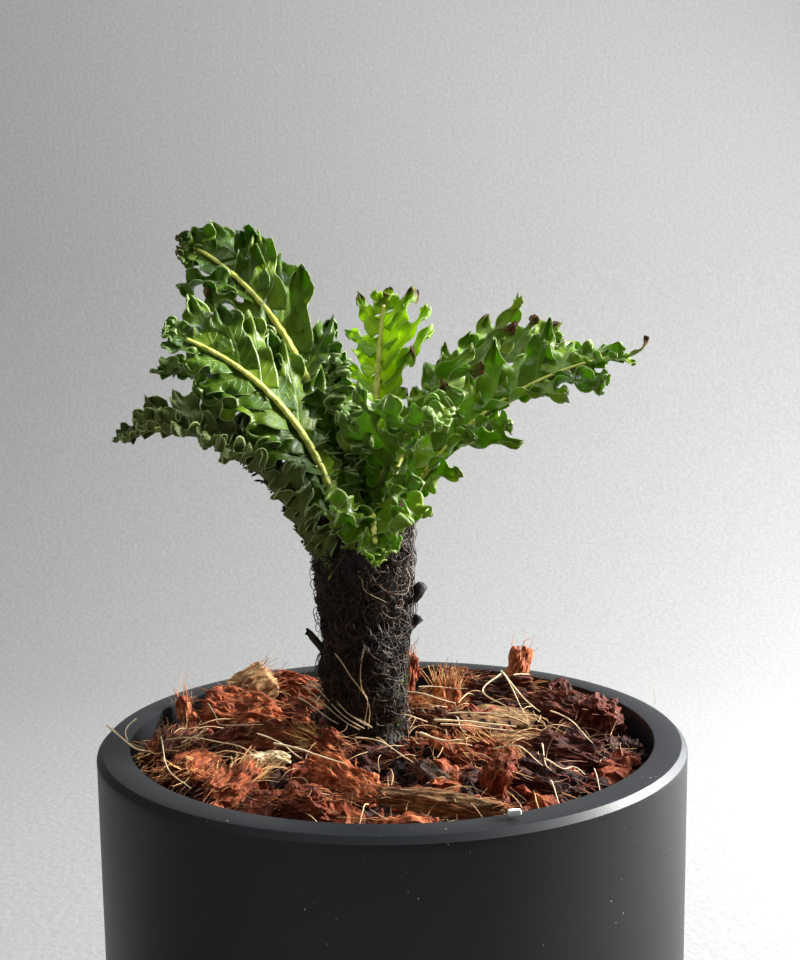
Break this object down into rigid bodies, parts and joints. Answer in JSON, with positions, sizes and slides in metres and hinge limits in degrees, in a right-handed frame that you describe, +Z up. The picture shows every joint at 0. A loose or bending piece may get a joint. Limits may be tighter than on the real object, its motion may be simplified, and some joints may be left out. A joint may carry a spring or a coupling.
{
  "type": "potted fern",
  "caption": "Small fern with crisped, ruffled fronds on a short matted trunk, growing in coconut husk chips in a round charcoal pot.",
  "frame": {"origin": "on the pot's axis at its foot, the middle of the underside of the whole object's box", "axes": "+Z up along the pot's axis, -Y towards the side the plant is seen from, +X to that viewer's right"},
  "size_m": [0.15, 0.15, 0.2714],
  "materials": {
    "pot": "matte charcoal, faintly dusty",
    "husk_fibre": "dark damp coconut husk fibre",
    "root_mat": "black-brown mat of wiry roots",
    "leaf": "glossy deep green, pale yellow-green midrib",
    "husk": "red-brown fibrous husk",
    "bark": "weathered brown bark with pale straws",
    "flake": "cream, crumbly",
    "grain": "chalky white"
  },
  "bodies": {
    "root": {"pot": "pot", "growing_medium": "husk_fibre", "trunk": "root_mat", "frond_rear_left": "leaf", "frond_mid_left": "leaf", "frond_low_left": "leaf", "frond_back_centre": "leaf", "frond_upper_right": "leaf", "frond_long_right": "leaf", "frond_front_right": "leaf", "frond_front_centre": "leaf", "frond_upper_left": "leaf", "frond_back_left": "leaf", "frond_back_right": "leaf", "frond_inner_front": "leaf", "husk_block_pale": "husk", "husk_plate_large": "husk", "husk_sliver_left": "husk", "husk_slab_left": "husk", "husk_tuft_left": "husk", "husk_tuft_front": "husk", "husk_nub_front": "husk", "husk_cube_front": "husk", "husk_strip_diagonal": "husk", "husk_chip_by_trunk": "husk", "husk_plate_left": "husk", "husk_curl": "husk", "husk_lump_back_left": "husk", "husk_lump_back": "husk", "husk_peg_back": "husk", "husk_brush_back": "husk", "husk_brush_behind": "husk", "husk_knob_back": "husk", "husk_plate_back": "husk", "husk_spike_back": "husk", "husk_block_right": "husk", "husk_nub_right": "husk", "husk_lump_right": "husk", "husk_bit_right": "husk", "husk_wedge_right": "husk", "husk_plate_right": "husk", "husk_plate_front_right": "husk", "husk_post_front": "husk", "husk_stick_front": "husk", "husk_knobs_front": "husk", "husk_chip_right_of_trunk": "husk", "husk_lump_by_trunk": "husk", "bark_strip_pale": "bark", "husk_strip_right": "husk", "husk_stick_grey": "husk", "husk_strip_orange": "husk", "bark_plate_dark": "bark", "husk_lump_left": "husk", "husk_bit_left": "husk", "husk_chip_back": "husk", "husk_chip_back_left": "husk", "husk_chip_behind": "husk", "husk_chip_middle": "husk", "cream_flake": "flake", "fertiliser_grain": "grain"}
  },
  "joints": []
}
